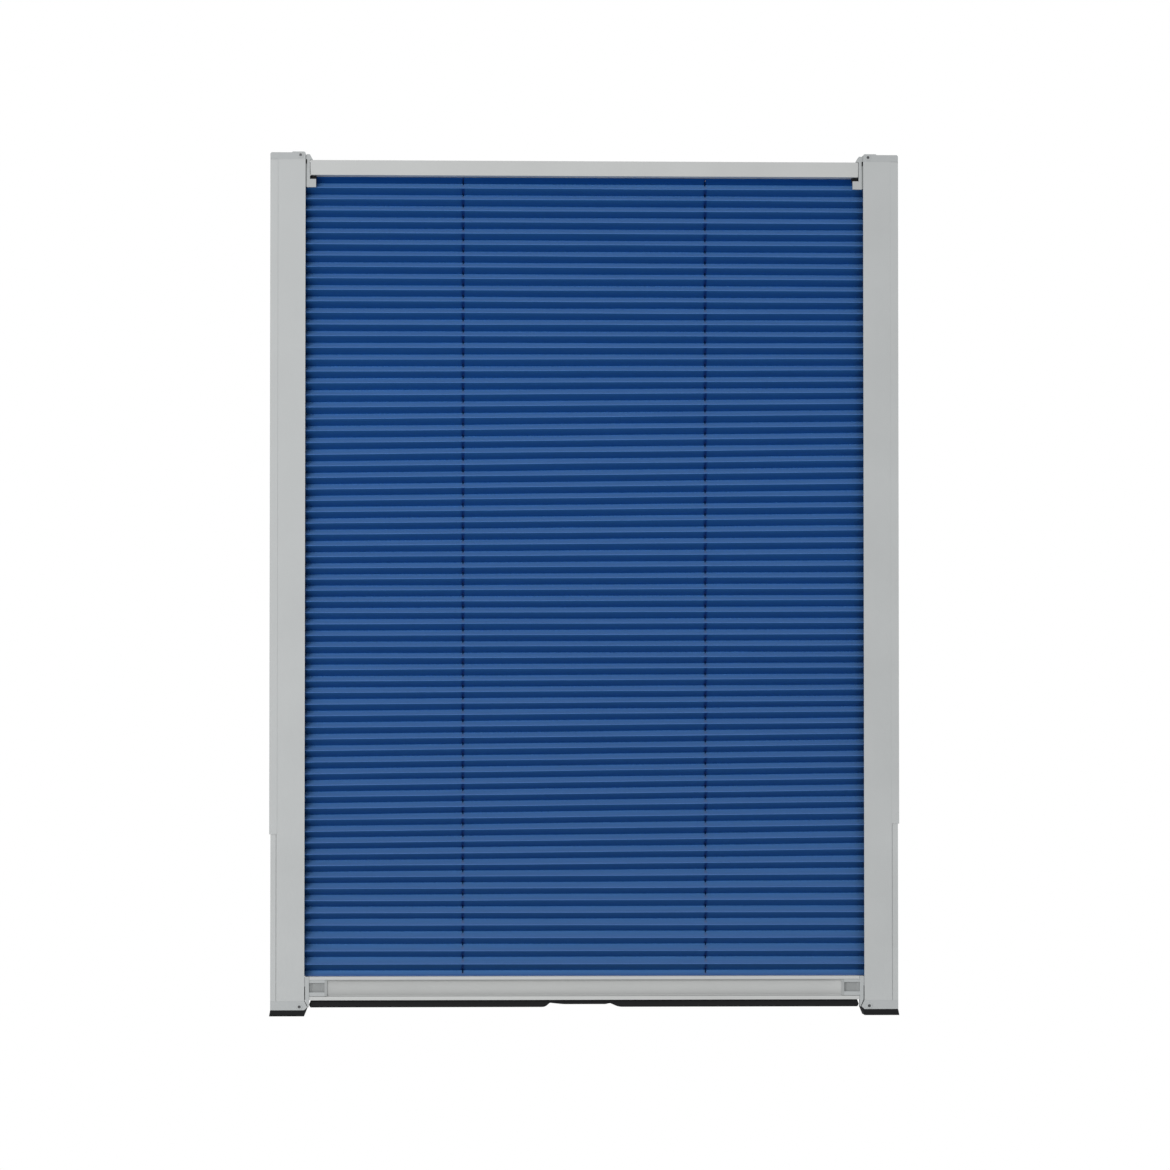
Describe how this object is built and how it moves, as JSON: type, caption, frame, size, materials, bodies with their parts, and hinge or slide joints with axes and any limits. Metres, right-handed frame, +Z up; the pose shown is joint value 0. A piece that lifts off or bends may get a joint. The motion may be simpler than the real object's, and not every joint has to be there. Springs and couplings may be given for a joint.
{
  "type": "skylight window blind",
  "caption": "Pleated roof-window blind with side rails, a sprung top rail and a sliding bottom bar with a seal.",
  "frame": {"origin": "middle of the top rail's flat back face, which lies in the plane of the window sash", "axes": "+X to the right seen from the room, +Y from the room towards the glass, +Z up along the side rails"},
  "size_m": [0.6134, 0.0268, 0.8411],
  "materials": {
    "rail_metal": "satin coated light grey",
    "cap_plastic": "matte light grey",
    "bar_cap_plastic": "matte grey",
    "black_rubber": "matte black",
    "dark_steel": "dark",
    "spring_steel": "bright",
    "guide_plastic": "off-white acetal",
    "blue_fabric": "woven blue polyester, pleated",
    "cord_yarn": "braided dark blue"
  },
  "bodies": {
    "frame": {"top_rail": "rail_metal", "left_side_rail": "rail_metal", "right_side_rail": "rail_metal", "left_trim_strip": "rail_metal", "right_trim_strip": "rail_metal", "left_top_cap": "cap_plastic", "right_top_cap": "cap_plastic", "left_bottom_cap": "cap_plastic", "right_bottom_cap": "cap_plastic", "left_end_bracket": "cap_plastic", "right_end_bracket": "cap_plastic", "left_foot_pad": "black_rubber", "right_foot_pad": "black_rubber", "left_top_cap_screw": "dark_steel", "right_top_cap_screw": "dark_steel", "left_bottom_cap_screw": "dark_steel", "right_bottom_cap_screw": "dark_steel", "left_cord_anchor": "dark_steel", "right_cord_anchor": "dark_steel", "left_cord_spring": "spring_steel", "right_cord_spring": "spring_steel", "left_cord_crimp": "spring_steel", "right_cord_crimp": "spring_steel", "fabric_top_strip": "guide_plastic", "left_spring_anchor": "guide_plastic", "right_spring_anchor": "guide_plastic", "left_top_cord_guide": "guide_plastic", "right_top_cord_guide": "guide_plastic", "pleated_fabric": "blue_fabric", "left_top_cord": "cord_yarn", "right_top_cord": "cord_yarn", "left_fabric_cord": "cord_yarn", "right_fabric_cord": "cord_yarn", "left_rail_cord": "cord_yarn", "right_rail_cord": "cord_yarn"},
    "bar": {"bottom_bar": "rail_metal", "seal_strip": "black_rubber", "fabric_bottom_strip": "guide_plastic", "left_bar_end_cap": "bar_cap_plastic", "right_bar_end_cap": "bar_cap_plastic", "left_guide_shoe": "guide_plastic", "right_guide_shoe": "guide_plastic", "left_shoe_screw": "dark_steel", "right_shoe_screw": "dark_steel", "left_leaf_spring": "spring_steel", "right_leaf_spring": "spring_steel", "left_bar_cord_guide": "guide_plastic", "right_bar_cord_guide": "guide_plastic", "left_bar_cord": "cord_yarn", "right_bar_cord": "cord_yarn"}
  },
  "joints": [
    {"name": "bar_slide", "type": "slide", "parent": "frame", "child": "bar", "axis": [0, 0, 1], "range_m": [0, 0.727], "deforming": ["pleated_fabric", "left_fabric_cord", "right_fabric_cord", "left_rail_cord", "right_rail_cord"]}
  ]
}
